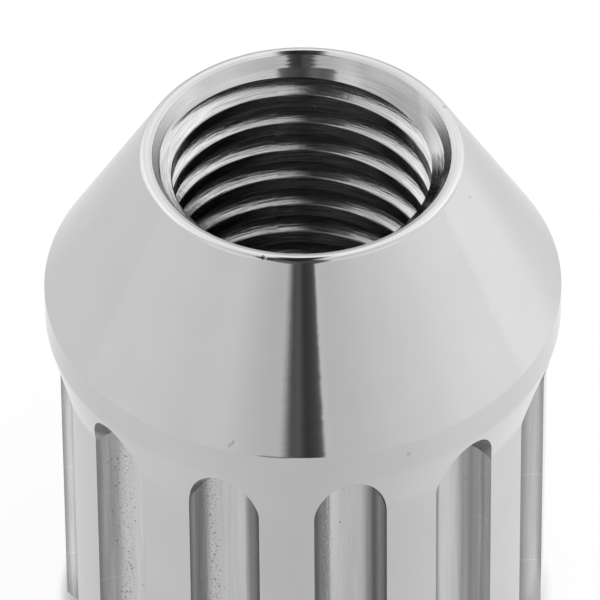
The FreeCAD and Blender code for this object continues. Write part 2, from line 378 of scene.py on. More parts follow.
def add_flutes(skin, form):
    """The flutes, the shoulder above them, the lands between them and the chamfer below.

    Across a flute the parameter is the turn of its round, so that x = round * sin(turn). Upwards
    it is a share of the way from the chamfer to the crease, then to the lip, then to the band.
    Returns the azimuths of the columns at the band and the points of the end face's outline.
    """
    turn = form.flute_turns()
    across = form.flute_round * np.sin(turn)
    floor = form.flute_floor(turn)
    crease, lip = form.crease(turn), form.lip(turn)
    reach = np.hypot(across, floor)
    foot = np.maximum(reach - form.end_radius, 0.0)
    foot[FLUTE_SIDE_STEPS], foot[-1 - FLUTE_SIDE_STEPS] = 0.0, 0.0
    wall_azimuth = np.arctan2(across, floor)
    lip_azimuth = np.arctan2(across, form.ramp(turn, lip))
    floor_share = np.linspace(0.0, 1.0, FLOOR_ROWS)[:, None]
    ramp_share = np.linspace(0.0, 1.0, RAMP_ROWS)[:, None]
    shoulder_share = np.linspace(0.0, 1.0, SHOULDER_ROWS)[:, None]
    floor_rows = foot + (crease - foot) * floor_share
    ramp_rows = crease + (lip - crease) * ramp_share
    shoulder_rows = lip + (form.side_top - lip) * shoulder_share
    land = np.linspace(lip_azimuth[-1], form.period + lip_azimuth[0], LAND_STEPS + 1)
    land_rows = np.concatenate([floor_rows[:, -1], shoulder_rows[1:, -1]])[:, None]
    steepness = form.ramp_round * np.tan(turn) / form.flute_round
    ramp_normal = unit(np.stack(np.broadcast_arrays(-steepness, 1.0, -form.ramp_slope), axis=-1))
    sides = slice(0, FLUTE_SIDE_STEPS + 1), slice(-1 - FLUTE_SIDE_STEPS, None)
    outline, end_azimuth = reach.copy(), wall_azimuth.copy()
    for side in sides:
        outline[side] = form.end_radius
        end_azimuth[side] = np.linspace(*wall_azimuth[side][[0, -1]], FLUTE_SIDE_STEPS + 1)
    band, rim_of_end = [], []
    for number in range(form.sizes.flute_count):
        start = number * form.period

        def placed(x, outwards, z):
            """Points given across a flute, out along it from the axis, and up, turned to this flute."""
            x, outwards, z = np.broadcast_arrays(x, outwards, z)
            return np.stack([x * math.cos(start) + outwards * math.sin(start),
                             x * math.sin(start) - outwards * math.cos(start), z], axis=-1)

        skin.add_grid(placed(across, floor, floor_rows),
                      placed(-np.sin(turn), np.cos(turn), 0.0 * floor_rows), MILLED)
        skin.add_grid(placed(across, form.ramp(turn, ramp_rows), ramp_rows),
                      placed(*(ramp_normal[:, axis] + 0.0 * ramp_rows for axis in range(3))), MILLED)
        for rows, azimuths in ((shoulder_rows, lip_azimuth), (land_rows, land)):
            normals = turned(1.0, -form.side_slope(rows), azimuths + start)
            skin.add_grid(turned(form.side_radius(rows), rows, azimuths + start), unit(normals), TURNED)
        for side in sides:
            add_chamfer(skin, form, end_azimuth[side] + start,
                        turned(reach[side], foot[side], wall_azimuth[side] + start))
        end_land = np.linspace(end_azimuth[-1], form.period + end_azimuth[0], LAND_STEPS + 1)
        add_chamfer(skin, form, end_land + start,
                    turned(form.sizes.land_radius, form.sizes.end_chamfer, land + start))
        band.append(np.concatenate([lip_azimuth, land[1:-1]]) + start)
        rim_of_end.append(turned(np.concatenate([outline, np.full(LAND_STEPS - 1, form.end_radius)]), 0.0,
                                 np.concatenate([end_azimuth, end_land[1:-1]]) + start))
    return np.concatenate(band), np.concatenate(rim_of_end)


def add_chamfer(skin, form, azimuths, upper):
    """The chamfer below one land or beside one flute: a cone from the end face to its upper edge."""
    points = np.stack([turned(form.end_radius, 0.0, azimuths), upper])
    normals = unit(turned(1.0, -1.0, azimuths))
    skin.add_grid(points, np.stack([normals, normals]), TURNED)


def add_join(skin, outer, inner, outwards, upwards, finish):
    """A flat or conical face between two closed rings of points with different numbers of points.

    Each stretch of the outer ring joins the inner point nearest in azimuth, and each stretch of
    the inner ring joins the outer point at which that nearest point changes.
    """
    def azimuth(points):
        """The azimuth of each point."""
        return np.arctan2(points[..., 0], -points[..., 1])

    ring = np.concatenate([outer, outer[:1]])
    around = np.unwrap(azimuth(ring))
    middle = 0.5 * (around[:-1] + around[1:])
    nearest = np.rint((middle - azimuth(inner)[0]) / (FULL_TURN / len(inner))).astype(int)
    change = np.nonzero(np.diff(np.append(nearest, nearest[0] + len(inner))))[0]
    here, after = inner[nearest[change] % len(inner)], inner[(nearest[change] + 1) % len(inner)]
    tip, outer_tip = inner[nearest % len(inner)], ring[change + 1]
    outwards_faces = np.stack([ring[:-1], ring[1:], tip, tip], axis=1)
    inwards_faces = np.stack([here, after, outer_tip, outer_tip], axis=1)
    corners = np.concatenate([outwards_faces, inwards_faces])
    skin.add_corners(corners, turned(outwards, upwards, azimuth(corners)), finish)


def mouth_line(form, height):
    """Radius of the mouth's wall and lead-in at the top, and of the lead-in at the foot."""
    sizes = form.sizes
    corner = form.top - sizes.mouth_depth
    flare = (sizes.mouth_radius - sizes.mouth_floor_radius) / (form.mouth_top - corner)
    wall = sizes.mouth_floor_radius + flare * (height - corner)
    lead_in = sizes.mouth_floor_radius + height - corner
    foot = sizes.crest_radius + sizes.foot_lead_in - height
    return np.maximum(np.minimum(wall, lead_in), foot)


def thread_corners(sizes):
    """One pitch of the thread's section as depths below a crest's upper edge, and their radii.

    A groove's flanks lean 30 degrees from level, and each crest's edge is a small chamfer.
    """
    rise = sizes.root_radius - sizes.crest_radius
    flank = rise * math.tan(FLANK_ANGLE)
    crest = sizes.pitch - 2.0 * flank - sizes.root_flat
    edge = 0.5 * sizes.fine_edge_round
    groove = crest + flank
    chamfer = edge * rise / flank
    depths = [edge, crest - edge, crest + edge, groove, groove + sizes.root_flat, sizes.pitch - edge]
    radii = [0.0, 0.0, chamfer, rise, rise, chamfer]
    return np.array(depths), sizes.crest_radius + np.array(radii)


def thread_radius(sizes, depth):
    """The thread's radius at a depth below a crest's upper edge, repeated each pitch."""
    depths, radii = thread_corners(sizes)
    return np.interp(depth, depths, radii, period=sizes.pitch)


def add_bore(skin, form):
    """The thread with the mouth and both lead-ins, as one surface from the ring to the foot.

    Upwards, each column's rows are the heights of the thread's corners, which rise by one pitch in
    a turn, the crossings with the lead-ins, and the mouth's corner, put in order. The radius is
    the larger of the thread's and the mouth's.
    """
    sizes = form.sizes
    azimuths = np.linspace(0.0, FULL_TURN, BORE_COLUMNS + 1)
    depths, _ = thread_corners(sizes)
    high = form.mouth_top - 2.0 * sizes.fine_edge_round
    rise = sizes.pitch * (azimuths - BACK_AZIMUTH) / FULL_TURN
    first = form.top - CREST_AT_BACK + SPARE_TURNS * sizes.pitch
    turns = np.arange(math.ceil(form.top / sizes.pitch) + 2 * SPARE_TURNS)
    corners = (first - (turns[:, None] * sizes.pitch + depths[None, :])).reshape(-1, 1) + rise[None, :]
    corners = np.clip(corners, 0.0, high)

    def depth_of(heights):
        """How deep below a crest's upper edge each height is."""
        return np.mod(first + rise - heights, sizes.pitch)

    def radius_of(heights):
        """The larger of the thread's and the mouth's radius."""
        return np.maximum(thread_radius(sizes, depth_of(heights)), mouth_line(form, heights))

    gap = thread_radius(sizes, depth_of(corners)) - mouth_line(form, corners)
    with np.errstate(divide="ignore", invalid="ignore"):
        share = np.nan_to_num(gap[:-1] / (gap[:-1] - gap[1:]), nan=0.0, posinf=0.0, neginf=0.0)
    crossings = corners[:-1] + np.clip(share, 0.0, 1.0) * (corners[1:] - corners[:-1])
    near_end = (crossings > form.top - SPARE_TURNS * sizes.pitch) | (crossings < sizes.pitch)
    crossings = crossings[near_end.any(axis=1)]
    mouth_corner = np.full((1, azimuths.size), form.top - sizes.mouth_depth)
    ends = np.stack([np.zeros_like(azimuths), np.full_like(azimuths, high)])
    rows = np.sort(np.concatenate([corners, crossings, mouth_corner, ends]), axis=0)
    radii = radius_of(rows)
    points = turned(radii, rows, azimuths)
    height = np.diff(rows, axis=0)
    climb = np.diff(radii, axis=0)
    middle = rows[:-1] + 0.5 * height
    threaded = thread_radius(sizes, depth_of(middle)) > mouth_line(form, middle)
    taller = height[:, 1:] > height[:, :-1]
    cell_height = np.where(taller, height[:, 1:], height[:, :-1])
    cell_climb = np.where(taller, climb[:, 1:], climb[:, :-1])
    cell_threaded = np.where(taller, threaded[:, 1:], threaded[:, :-1])
    slope = cell_climb / np.maximum(cell_height, WELD)
    lead = np.where(cell_threaded, slope * sizes.pitch / FULL_TURN, 0.0)
    normals = []
    for column in (azimuths[:-1], azimuths[1:], azimuths[1:], azimuths[:-1]):
        sideways = lead / sizes.crest_radius
        inwards = turned(-1.0, slope, column + 0.0 * slope)
        inwards[..., 0] -= sideways * np.cos(column)
        inwards[..., 1] -= sideways * np.sin(column)
        normals.append(unit(inwards))
    finish = np.where(cell_threaded, TAPPED, RING).reshape(-1)
    skin.add_grid(points, np.stack(normals, axis=2), finish)
    return high, points[0, :-1]


def build_skin(sizes):
    """All the faces of the nut, from the flutes up over the seat and down through the bore."""
    form, skin = Form(sizes), Skin()
    band, end_outline = add_flutes(skin, form)
    band = np.append(band, band[0] + FULL_TURN)
    seam = sizes.mouth_radius + SEAM_SHARE * (sizes.seat_top_radius - sizes.mouth_radius)
    edge = sizes.fine_edge_round
    outside, normals = rounded_line(
        [(sizes.rim_radius, form.side_top), (sizes.rim_radius, form.rim),
         (sizes.seat_top_radius, form.top), (seam, form.ring_height(seam))],
        [edge, sizes.seat_edge_round])
    seat_end = ROUND_STEPS + 2
    add_turned_line(skin, outside[:seat_end], normals[:seat_end], band, TURNED)
    add_turned_line(skin, outside[seat_end - 1:], normals[seat_end - 1:], band, TURNED)
    high, foot = add_bore(skin, form)
    bore = np.linspace(0.0, FULL_TURN, BORE_COLUMNS + 1)
    join = seam - 0.5 * edge
    inside, inside_normals = rounded_line(
        [(join, form.ring_height(join)), (sizes.mouth_radius, form.mouth_top),
         (float(mouth_line(form, high)), high)],
        [edge])
    add_turned_line(skin, inside, inside_normals, bore, RING)
    add_join(skin, turned(*outside[-1], band[:-1]), turned(*inside[0], bore[:-1]),
             *inside_normals[0], RING)
    add_join(skin, end_outline, foot, 0.0, -1.0, TURNED)
    return skin


class Value:
    """A socket that takes part in sums. An expression on values adds the Math nodes it needs."""

    def __init__(self, tree, socket):
        self.tree, self.socket = tree, socket

    def math(self, operation, *others):
        """A Math node on this value and others."""
        node = self.tree.nodes.new("ShaderNodeMath")
        node.operation = operation
        for slot, operand in zip(node.inputs, (self, *others)):
            connect(self.tree, slot, operand)
        return Value(self.tree, node.outputs[0])

    def __add__(self, other):
        return self.math("ADD", other)

    def __mul__(self, other):
        return self.math("MULTIPLY", other)

    def __sub__(self, other):
        return self.math("SUBTRACT", other)

    def __rsub__(self, other):
        return self * -1.0 + other

    def __truediv__(self, other):
        return self.math("DIVIDE", other)

    def __pow__(self, other):
        return self.math("POWER", other)

    def __abs__(self):
        return self.math("ABSOLUTE")

    __radd__ = __add__
    __rmul__ = __mul__

    def between(self, low, high):
        """0 below low, 1 above high and smooth between. With low above high it falls instead."""
        node = self.tree.nodes.new("ShaderNodeMapRange")
        node.interpolation_type = "SMOOTHSTEP"
        for name, operand in (("Value", self), ("From Min", low), ("From Max", high)):
            connect(self.tree, node.inputs[name], operand)
        return Value(self.tree, node.outputs["Result"])


def connect(tree, slot, operand):
    """Puts a number or a colour in a socket, or links a value to it."""
    if isinstance(operand, Value):
        tree.links.new(operand.socket, slot)
    else:
        slot.default_value = operand


class Nodes:
    """The node tree of one finish, emptied, with a way to add any node to it."""

    def __init__(self, owner):
        owner.use_nodes = True
        self.tree = owner.node_tree
        self.tree.nodes.clear()

    def add(self, kind, inputs, output=0, **settings):
        """Adds a node, sets its settings or a ramp's stops, then its sockets, and gives one output."""
        node = self.tree.nodes.new(kind)
        for name, setting in settings.items():
            if name == "stops":
                set_stops(node.color_ramp, setting)
            else:
                setattr(node, name, setting)
        for name, operand in inputs.items():
            connect(self.tree, node.inputs[name], operand)
        return Value(self.tree, node.outputs[output])

    def end(self, kind, shader):
        """Adds the output node."""
        self.tree.links.new(shader.socket, self.tree.nodes.new(kind).inputs["Surface"])

    def noise(self, vector, scale, detail=2.0):
        """Soft noise about 0, from about -0.5 to 0.5."""
        inputs = {"Vector": vector, "Scale": scale, "Detail": detail}
        return self.add("ShaderNodeTexNoise", inputs, "Fac") - 0.5

    def vector(self, x, y, z):
        """A vector from three values."""
        return self.add("ShaderNodeCombineXYZ", {"X": x, "Y": y, "Z": z})

    def bump(self, height):
        """The normal of a surface raised by a height in metres."""
        return self.add("ShaderNodeBump", {"Height": height, "Distance": 1.0, "Strength": 1.0})

    def ramp(self, place, stops):
        """A value that follows a ramp's stops."""
        return self.add("ShaderNodeValToRGB", {"Fac": place}, stops=stops)

    def curve(self, place, stops):
        """The same for stops of up to BRIGHTEST."""
        return self.ramp(place, [(at, bright / BRIGHTEST) for at, bright in stops]) * BRIGHTEST

    def along(self, vector, axis):
        """How far a vector reaches along an axis."""
        inputs = {0: vector, 1: tuple(axis)}
        return self.add("ShaderNodeVectorMath", inputs, "Value", operation="DOT_PRODUCT")

    def ray(self, kind):
        """1 for rays of a kind and 0 for others."""
        return self.add("ShaderNodeLightPath", {}, kind)

    def mirrored(self):
        """1 on rays that left the steel as a reflection, or came through something clear."""
        return self.ray("Is Glossy Ray").math("MAXIMUM", self.ray("Is Transmission Ray"))

    def tinted(self, colour, shade):
        """A colour made darker or lighter by a value."""
        return self.add("ShaderNodeVectorMath", {0: tuple(colour), "Scale": shade}, operation="SCALE")


def set_stops(ramp, stops):
    """Gives a ramp its stops, as places from 0 to 1 and grey values, and a smooth curve through them."""
    ramp.interpolation = "CARDINAL" if len(stops) > 2 else "LINEAR"
    for place, _ in stops[2:]:
        ramp.elements.new(place)
    for element, (place, grey) in zip(ramp.elements, stops):
        element.position = place
        element.color = (grey, grey, grey, 1.0)


class Place:
    """Where a point of the nut is: its own x, y and z, its radius, azimuth and place in a flute."""

    def __init__(self, nodes, sizes):
        self.nodes = nodes
        self.point = nodes.add("ShaderNodeTexCoord", {}, "Object")
        split = {"Vector": self.point}
        self.x, self.y, self.z = (nodes.add("ShaderNodeSeparateXYZ", split, axis) for axis in "XYZ")
        self.radius = (self.x * self.x + self.y * self.y) ** 0.5
        self.azimuth = self.x.math("ARCTAN2", self.y * -1.0)
        period = FULL_TURN / sizes.flute_count
        self.flute = (self.azimuth / period).math("ROUND")
        self.across = self.radius * (self.azimuth - self.flute * period).math("SINE")

    def drawn_out(self, around, across, detail=2.0):
        """Noise drawn out round the axis: its waves in a radian, and in a metre across that."""
        spread = self.nodes.vector(self.azimuth * around, self.z * across, self.radius * across)
        return self.nodes.noise(spread, 1.0, detail)


# Small knocks the steel has taken: x, y, z and the half width of each, in millimetres.
NICKS = ((-4.80, -9.26, 18.08, 0.10), (-4.70, -9.25, 18.17, 0.11), (-4.60, -9.24, 18.27, 0.09),
         (2.28, -10.29, 17.29, 0.14), (-1.01, 6.38, 24.94, 0.12), (-0.72, 6.42, 24.94, 0.10),
         (6.18, 1.58, 24.92, 0.12), (6.29, -3.06, 24.05, 0.09), (-2.68, -5.90, 24.92, 0.13))
# How ragged a nick's edge is, and how much of its half width is at full depth.
NICK_WAVES, NICK_RAGGED, NICK_CORE = 9000.0, 0.12 * MM, 0.4


def knocked(nodes, place):
    """1 inside the nicks and 0 outside them, with a ragged edge."""
    ragged = nodes.noise(place.point, NICK_WAVES) * NICK_RAGGED
    nicks = 0.0
    for *centre, half in NICKS:
        inputs = {0: place.point, 1: tuple(part * MM for part in centre)}
        apart = nodes.add("ShaderNodeVectorMath", inputs, "Value", operation="DISTANCE")
        nicks = (apart + ragged).between(half * MM, NICK_CORE * half * MM) + nicks
    return nicks


# In the finishes below, WAVES are a noise's waves in a metre, or in a radian round the axis and in
# a metre across it. SHADE is a change of brightness, ROUGHNESS of roughness, and HEIGHT and DEPTH
# are lengths. A pair is where something starts to show and where it is whole.
SWELL_WAVES, SWELL_HEIGHT = (3.0, 900.0), 0.004 * MM
LATHE_WAVES, LATHE_HEIGHT = (40.0, 16000.0), 0.0004 * MM
SEAT_CLOUD_WAVES, SEAT_CLOUD_SHADE, SEAT_CLOUD_ROUGHNESS = 350.0, 0.10, 0.05
SEAT_NICK_SHADE, SEAT_NICK_DEPTH = 0.2, 0.006 * MM
# A dark line painted on the rim's edge beside the front, as painted shade for the dark reflection there.
RIM_LINE_AZIMUTH, RIM_LINE_PAINTED_SHADE = -0.305, 0.5
RIM_LINE_REACH, RIM_LINE_WIDTH = (0.08, 0.03), (0.05 * MM, 0.02 * MM)


def turned_steel(sizes, finish):
    """The polished seat, band and lands: faint lathe rings, a slight swell and a dark line painted on the
    rim as painted shade.
    """
    material, nodes, place = begin("turned_steel", sizes)
    swell, rings = place.drawn_out(*SWELL_WAVES), place.drawn_out(*LATHE_WAVES)
    cloud = nodes.noise(place.point, SEAT_CLOUD_WAVES, detail=4.0)
    nicks = knocked(nodes, place)
    # The rim's edge is painted darker here near the front: painted shade for its dark reflection.
    painted_rim_line = abs(place.z - Form(sizes).rim).between(*RIM_LINE_WIDTH)
    painted_rim_line = painted_rim_line * abs(place.azimuth - RIM_LINE_AZIMUTH).between(*RIM_LINE_REACH)
    shade = 1.0 + cloud * SEAT_CLOUD_SHADE - nicks * SEAT_NICK_SHADE - painted_rim_line * RIM_LINE_PAINTED_SHADE
    return finished(material, nodes, {
        "Base Color": nodes.tinted(finish.steel, shade),
        "Roughness": finish.polish + cloud * SEAT_CLOUD_ROUGHNESS,
        "Normal": nodes.bump(swell * SWELL_HEIGHT + rings * LATHE_HEIGHT - nicks * SEAT_NICK_DEPTH)})


RING_WAVES, RING_HEIGHT = (1.5, 14000.0), 0.004 * MM
RING_SHADE, RING_MARKS_SHADE = 0.9, 0.3
RING_CLOUD_WAVES, RING_CLOUD_SHADE, RING_CLOUD_ROUGHNESS = 900.0, 0.10, 0.04
RING_NICK_SHADE, RING_NICK_DEPTH = 0.25, 0.008 * MM
# The mouth's wall has painted light at its two sides, lifting the shade there, and is rougher there,
# half as much on the right, and all of the mouth is duller at the back on the right.
INSIDE_MOUTH, WALL_RISE = (6.05 * MM, 6.02 * MM), 0.03 * MM
LIT_SIDES_AT, SIDES_PAINTED_LIGHT, SIDES_ROUGHNESS = (3.0 * MM, 4.5 * MM), 0.4, 0.35
RIGHT_SIDE, RIGHT_SIDE_LESS = (0.0, 1.0 * MM), 0.5
DULL_FROM, DULL_UP_TO = (2.9 * MM, 3.6 * MM), (5.5 * MM, 5.2 * MM)
DULL_SHADE, DULL_MARKS_SHADE, DULL_ROUGHNESS = 0.2, 0.2, 0.05


def ring_steel(sizes, finish):
    """The ring on top and the mouth: the lathe tool's rings about the axis, painted light on the mouth
    wall's sides, and a duller patch.
    """
    material, nodes, place = begin("ring_steel", sizes)
    marks = place.drawn_out(*RING_WAVES, detail=3.0)
    cloud = nodes.noise(place.point, RING_CLOUD_WAVES, detail=3.0)
    nicks = knocked(nodes, place)
    inside = place.radius.between(*INSIDE_MOUTH)
    wall_foot = sizes.mouth_floor_radius
    wall = inside * place.radius.between(wall_foot, wall_foot + WALL_RISE)
    lit_rough_sides = abs(place.x).between(*LIT_SIDES_AT) * (1.0 - place.x.between(*RIGHT_SIDE) * RIGHT_SIDE_LESS) * wall
    dull = place.x.between(*DULL_FROM) * place.x.between(*DULL_UP_TO) * inside
    shade = RING_SHADE + marks * (RING_MARKS_SHADE + dull * DULL_MARKS_SHADE) + cloud * RING_CLOUD_SHADE
    # The sides of the mouth's wall are painted lighter here: painted light against their shade.
    shade = shade + lit_rough_sides * SIDES_PAINTED_LIGHT - dull * DULL_SHADE - nicks * RING_NICK_SHADE
    roughness = finish.polish + cloud * RING_CLOUD_ROUGHNESS
    return finished(material, nodes, {
        "Base Color": nodes.tinted(finish.steel, shade),
        "Roughness": roughness + lit_rough_sides * SIDES_ROUGHNESS + dull * DULL_ROUGHNESS,
        "Normal": nodes.bump(marks * RING_HEIGHT - nicks * RING_NICK_DEPTH)})


# Painted shade and painted highlight across a flute, for the dark and bright reflections of its walls:
# how bright the cut steel is painted, by the distance from its middle in millimetres.
CUT_PAINTED_LIGHT = ((-1.5, 0.8), (-1.46, 1.35), (-1.38, 0.95), (-1.27, 0.75), (-1.1, 0.87), (-0.95, 1.05),
              (-0.7, 1.07), (-0.4, 1.08), (0.0, 1.03), (0.55, 1.02), (0.75, 0.9), (0.9, 0.62),
              (1.0, 0.66), (1.17, 0.5), (1.31, 0.75), (1.42, 1.0), (1.5, 0.95))
# The streaks along the cut: waves in a metre across and along it, and a shift from flute to flute.
STREAK_WAVES, STREAK_SHIFT = (7000.0, 200.0), 7.3
STREAK_SHADE, STREAK_ROUGHNESS, STREAK_HEIGHT = 0.3, 0.10, 0.005 * MM
GRAIN_WAVES, GRAIN_SHADE, GRAIN_HEIGHT = 16000.0, 0.15, 0.0015 * MM
FLUTES_APART = 0.05
# The zone where the cutter tore specks out, by the distance from its middle, and the rough flank.
TORN_MIDDLE, TORN_REACH, TORN_GRAIN_SHADE = -0.9 * MM, (0.55 * MM, 0.1 * MM), 0.5
SPECK_WAVES, SPECKS, SPECK_HEIGHT = 9000.0, (0.04, 0.22), 0.012 * MM
FLANK, FLANK_ROUGHNESS = (-0.8 * MM, -1.1 * MM), 0.15
FLANK_STREAK_SHADE, FLANK_GRAIN_SHADE = 0.4, 0.3
# The pits: how wide and ragged one is in its cell, and which cells have one, more of them where torn.
PIT_WAVES, PIT_WIDTH, PIT_RAGGED = 6500.0, (0.34, 0.14), 0.5
PITS_KEPT, PITS_MORE_TORN = (0.93, 0.96), 0.2
PIT_SHADE, PIT_DEPTH = 0.15, 0.025 * MM
# The level lines of the cutter's feed: spacing, shift from flute to flute, width and reach across.
FEED, FEED_SHIFT, FEED_WIDTH = 4.9 * MM, 0.37, (0.012, 0.004)
FEED_REACH, FEED_SHADE = (1.15 * MM, 1.25 * MM), 0.12


def milled_steel(sizes, finish):
    """The flutes: painted shade and highlight across each, streaks along the cut, torn specks on one flank
    and faint level feed lines.
    """
    material, nodes, place = begin("milled_steel", sizes)
    across, width = place.across, sizes.flute_width
    along_round = (across / (0.5 * width)).math("ARCSINE") * (0.5 * width)
    # Painted shade and painted highlight across the flute, for its walls' reflections of each other.
    stops = [(0.5 + at * MM / width, bright) for at, bright in CUT_PAINTED_LIGHT]
    shade = nodes.curve(across / width + 0.5, stops)
    over_cut, down_cut = STREAK_WAVES
    drawn_out = nodes.vector(along_round * over_cut, place.flute * STREAK_SHIFT, place.z * down_cut)
    streaks = nodes.noise(drawn_out, 1.0, detail=3.0)
    torn = abs(across - TORN_MIDDLE).between(*TORN_REACH)
    flank = across.between(*FLANK)
    own = nodes.vector(along_round, place.z, place.flute * FLUTES_APART)
    grain = nodes.noise(own, GRAIN_WAVES)
    specks = nodes.noise(own, SPECK_WAVES, detail=3.0).between(*SPECKS) * torn
    cells = {"Vector": own, "Scale": PIT_WAVES}
    apart = nodes.add("ShaderNodeTexVoronoi", cells, "Distance")
    chosen = nodes.add("ShaderNodeTexVoronoi", cells, "Color") + torn * PITS_MORE_TORN
    pits = (apart + grain * PIT_RAGGED).between(*PIT_WIDTH) * chosen.between(*PITS_KEPT)
    feed = (place.z / FEED + place.flute * FEED_SHIFT).math("FRACT")
    line = abs(feed - 0.5).between(*FEED_WIDTH) * abs(across).between(*FEED_REACH)
    light = 1.0 + streaks * (STREAK_SHADE + flank * FLANK_STREAK_SHADE)
    light = light + grain * (GRAIN_SHADE + torn * TORN_GRAIN_SHADE + flank * FLANK_GRAIN_SHADE)
    light = light - pits * PIT_SHADE + line * FEED_SHADE
    height = specks * SPECK_HEIGHT - pits * PIT_DEPTH + grain * GRAIN_HEIGHT + streaks * STREAK_HEIGHT
    return finished(material, nodes, {
        "Base Color": nodes.tinted(finish.steel, shade * light * finish.cut_shade),
        "Roughness": finish.cut + flank * FLANK_ROUGHNESS + streaks * STREAK_ROUGHNESS,
        "Normal": nodes.bump(height)})


TAP_WAVES, TAP_SHADE, TAP_ROUGHNESS, TAP_HEIGHT = (4.0, 11000.0), 0.9, 0.15, 0.012 * MM
CHATTER_WAVES, CHATTER_HEIGHT = (22.0, 2500.0), 0.004 * MM
# The crests are painted darker, as painted shade of the deep bore, up to this far from their radius, and
# the grooves rougher between these two.
CREST_REACH, CREST_PAINTED_SHADE, TAPPED_SHADE = 0.03 * MM, 0.42, 0.86
GROOVE_FROM_CREST, GROOVE_FROM_ROOT, GROOVE_ROUGHNESS = 0.15 * MM, 0.1 * MM, 0.08


def tapped_steel(sizes, finish):
    """The thread: the tap's streaks along the turn, with crests painted darker as painted shade of the
    deep bore.
    """
    material, nodes, place = begin("tapped_steel", sizes)
    streaks = place.drawn_out(*TAP_WAVES, detail=4.0)
    chatter = place.drawn_out(*CHATTER_WAVES, detail=3.0)
    crest = place.radius.between(sizes.crest_radius + CREST_REACH, sizes.crest_radius)
    groove = place.radius.between(
        sizes.crest_radius + GROOVE_FROM_CREST, sizes.root_radius - GROOVE_FROM_ROOT)
    # The crests are painted darker here: painted shade of the deep bore.
    shade = TAPPED_SHADE - crest * CREST_PAINTED_SHADE + streaks * TAP_SHADE
    return finished(material, nodes, {
        "Base Color": nodes.tinted(finish.steel, shade),
        "Roughness": finish.cut + groove * GROOVE_ROUGHNESS + streaks * TAP_ROUGHNESS,
        "Normal": nodes.bump(streaks * TAP_HEIGHT + chatter * CHATTER_HEIGHT)})


def begin(name, sizes):
    """A new material with its nodes and the point's place on the nut."""
    material = bpy.data.materials.new(name)
    nodes = Nodes(material)
    return material, nodes, Place(nodes, sizes)


def finished(material, nodes, surface):
    """Ends a material as bare metal with the colour, roughness and normal that were worked out."""
    shader = nodes.add("ShaderNodeBsdfPrincipled", {"Metallic": 1.0, **surface})
    nodes.end("ShaderNodeOutputMaterial", shader)
    return material


class WHEELNUT_OT_nut(bpy.types.Operator):
    """Builds the nut, one turned and milled piece of bright steel"""

    bl_idname = "wheelnut.nut"
    bl_label = "Build the nut"

    def execute(self, context):
        sizes, finish = context.scene.wheel_nut_sizes, context.scene.wheel_nut_finish
        mesh = build_skin(sizes).mesh("locking_wheel_nut")
        piece = bpy.data.objects.new("locking_wheel_nut", mesh)
        context.scene.collection.objects.link(piece)
        for make in (turned_steel, ring_steel, milled_steel, tapped_steel):
            mesh.materials.append(make(sizes, finish))
        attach(piece, BODY)
        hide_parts(NODE)
        return {"FINISHED"}


# The camera fitted to the photo: the lens and its frame in millimetres, the angles from the front,
# up and in its own plane, the distance to the middle of the rim, and how far that is off centre.
FOCAL_LENGTH = 574.9
FRAME_WIDTH = 36.0
CAMERA_AZIMUTH = math.radians(10.70)
CAMERA_ELEVATION = math.radians(42.47)
CAMERA_ROLL = math.radians(0.5075)
CAMERA_DISTANCE = 390.8 * MM
CAMERA_LEFT = 0.1215 * MM
CAMERA_DOWN = 0.788 * MM
CAMERA_NEAR, CAMERA_FAR = 0.01, 10.0


def add_camera(scene, rim_height):
    """The camera in front of the nut, looking down on it at the middle of its rim."""
    front = Vector((-math.sin(CAMERA_AZIMUTH), -math.cos(CAMERA_AZIMUTH), 0.0))
    right = Vector((math.cos(CAMERA_AZIMUTH), -math.sin(CAMERA_AZIMUTH), 0.0))
    back = front * math.cos(CAMERA_ELEVATION) + Vector((0.0, 0.0, math.sin(CAMERA_ELEVATION)))
    up = back.cross(right)
    aim = Vector((0.0, 0.0, rim_height)) - CAMERA_LEFT * right - CAMERA_DOWN * up
    rolled_right = right * math.cos(CAMERA_ROLL) - up * math.sin(CAMERA_ROLL)
    rolled_up = back.cross(rolled_right)
    lens = bpy.data.cameras.new("studio_camera")
    lens.lens, lens.sensor_width = FOCAL_LENGTH, FRAME_WIDTH
    lens.clip_start, lens.clip_end = CAMERA_NEAR, CAMERA_FAR
    camera = bpy.data.objects.new("studio_camera", lens)
    turn = Matrix((rolled_right, rolled_up, back)).transposed().to_4x4()
    camera.matrix_world = Matrix.Translation(aim + CAMERA_DISTANCE * back) @ turn
    scene.collection.objects.link(camera)
    scene.camera = camera
    return right, front


WHITE = (1.0, 1.0, 1.0)
WORLD_LIGHT = 0.95
FLOOR_SIZE = 4.0
# How bright the floor shows in the steel, close to the nut and far from it, from left to right,
# and how far off close and far are.
FLOOR_CLOSE = ((0.0, 0.93), (0.2, 0.88), (0.5, 0.78), (0.8, 0.9), (1.0, 1.07))
FLOOR_FAR = ((0.0, 1.0), (0.5, 0.9), (1.0, 1.33))
CLOSE, FAR = 0.03, 0.12
# How much of the floor's look is plain white, which stops under the nut.
FLOOR_WHITE = 0.9
UNDER_NUT = (9.975 * MM, 10.5 * MM)


